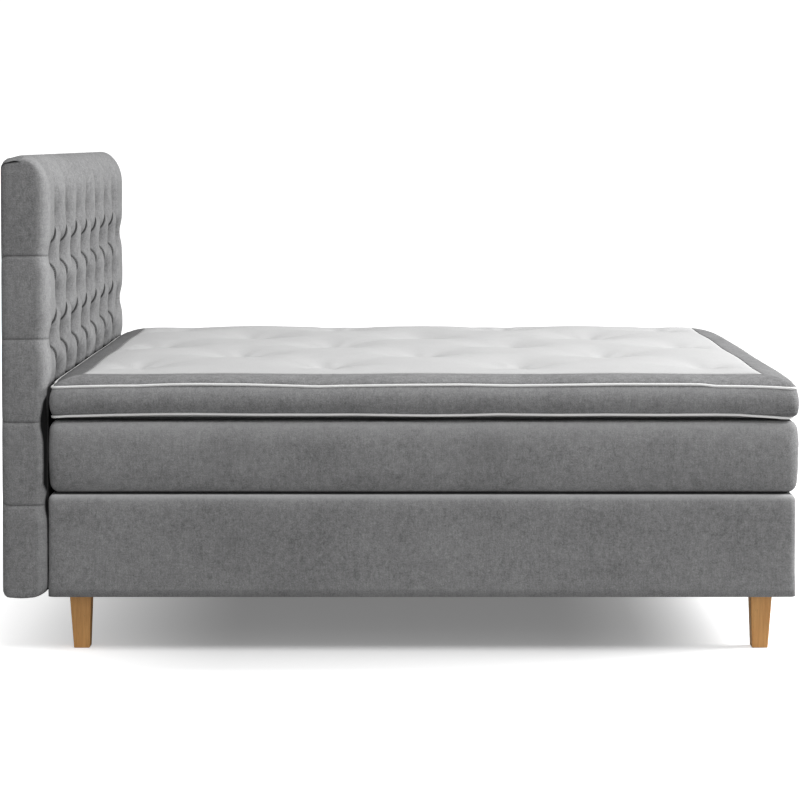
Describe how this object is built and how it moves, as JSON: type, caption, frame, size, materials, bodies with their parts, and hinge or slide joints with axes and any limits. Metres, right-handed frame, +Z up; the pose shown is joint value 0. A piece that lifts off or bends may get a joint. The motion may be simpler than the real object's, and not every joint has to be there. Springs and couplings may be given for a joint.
{
  "type": "box spring bed",
  "caption": "Box spring bed with a padded base on square tapered wood legs, a tall diamond-tufted headboard, a spring mattress and a piped, lightly tufted topper.",
  "frame": {"origin": "on the floor, under the middle of the whole bed", "axes": "+X along the bed from headboard to foot, +Y across the bed, +Z up"},
  "size_m": [2.137, 1.804, 1.335],
  "materials": {
    "grey_fabric": "matte",
    "white_fabric": "matte",
    "white_piping": "matte",
    "felt": "matte",
    "foam": "matte",
    "pocket_cloth": "matte",
    "pine": "matte",
    "chipboard": "matte",
    "oak": "satin",
    "steel": "satin"
  },
  "bodies": {
    "base": {"base_cover": "grey_fabric", "headboard_cover": "grey_fabric", "base_dust_cover": "felt", "headboard_back_cloth": "felt", "base_pad": "foam", "headboard_foam": "foam", "base_spring_core": "pocket_cloth", "base_side_rail_near": "pine", "base_side_rail_far": "pine", "base_head_rail": "pine", "base_foot_rail": "pine", "base_centre_rail": "pine", "base_ledge_near": "pine", "base_ledge_far": "pine", "base_slat_1": "pine", "base_slat_2": "pine", "base_slat_3": "pine", "base_slat_4": "pine", "base_slat_5": "pine", "base_slat_6": "pine", "base_slat_7": "pine", "corner_block_1": "pine", "corner_block_2": "pine", "corner_block_3": "pine", "corner_block_4": "pine", "headboard_stile_near": "pine", "headboard_stile_far": "pine", "headboard_rail_top": "pine", "headboard_rail_middle": "pine", "headboard_rail_bottom": "pine", "headboard_panel": "chipboard", "leg_1": "oak", "leg_2": "oak", "leg_3": "oak", "leg_4": "oak", "centre_leg": "oak", "leg_bolt_1": "steel", "leg_bolt_2": "steel", "leg_bolt_3": "steel", "leg_bolt_4": "steel", "centre_leg_bolt": "steel", "headboard_bolt_1": "steel", "headboard_bolt_2": "steel", "headboard_bolt_3": "steel", "headboard_bolt_4": "steel"},
    "mattress": {"mattress_bottom_panel": "grey_fabric", "mattress_border": "grey_fabric", "mattress_top_panel": "grey_fabric", "mattress_foam_bottom": "foam", "mattress_foam_top": "foam", "mattress_core": "pocket_cloth"},
    "topper": {"topper_band": "grey_fabric", "topper_border": "grey_fabric", "topper_panel": "white_fabric", "topper_bottom_panel": "white_fabric", "topper_piping_bottom": "white_piping", "topper_piping_top": "white_piping", "topper_foam": "foam"}
  },
  "joints": [
    {"name": "mattress_lift", "type": "slide", "parent": "base", "child": "mattress", "axis": [0, 0, 1], "range_m": [0, 0.07]},
    {"name": "topper_lift", "type": "slide", "parent": "mattress", "child": "topper", "axis": [0, 0, 1], "range_m": [0, 0.25]}
  ]
}
